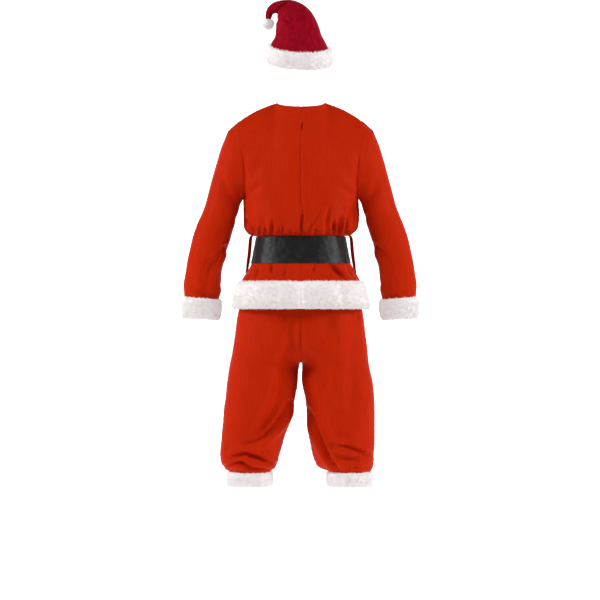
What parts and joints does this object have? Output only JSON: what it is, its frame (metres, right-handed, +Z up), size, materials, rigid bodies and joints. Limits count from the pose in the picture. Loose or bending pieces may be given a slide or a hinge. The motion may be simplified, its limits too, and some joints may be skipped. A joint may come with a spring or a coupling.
{
  "type": "santa suit",
  "caption": "Worn costume suit in red cloth with white fur trims: drooping hat with a pompom, belted long-sleeved jacket and knee breeches, hollow, with a wide black belt.",
  "frame": {"origin": "base of the neck, where the wearer's shoulders hold the suit", "axes": "+Z up, the suit's front faces -Y and its back +Y, +X is the wearer's left"},
  "size_m": [0.7929, 0.3484, 1.6024],
  "materials": {
    "suit_cloth": "smooth polyester cloth with a slight sheen",
    "hat_cloth": "short crimson plush",
    "fur": "white plush fur",
    "belt_leather": "soft black imitation leather",
    "buckle_metal": "polished"
  },
  "bodies": {
    "root": {"hat_crown": "hat_cloth", "hat_fur_band": "fur", "hat_pompom": "fur", "jacket_back_left": "suit_cloth", "jacket_back_right": "suit_cloth", "jacket_front_left": "suit_cloth", "jacket_front_right": "suit_cloth", "sleeve_left": "suit_cloth", "sleeve_right": "suit_cloth", "cuff_fur_left": "fur", "cuff_fur_right": "fur", "hem_fur_back_left": "fur", "hem_fur_back_right": "fur", "hem_fur_front_left": "fur", "hem_fur_front_right": "fur", "belt": "belt_leather", "buckle_frame": "buckle_metal", "buckle_prong": "buckle_metal", "belt_loop_left": "suit_cloth", "belt_loop_right": "suit_cloth", "waistband": "suit_cloth", "trousers_back_left": "suit_cloth", "trousers_back_right": "suit_cloth", "trousers_front_left": "suit_cloth", "trousers_front_right": "suit_cloth", "leg_fur_left": "fur", "leg_fur_right": "fur"}
  },
  "joints": []
}
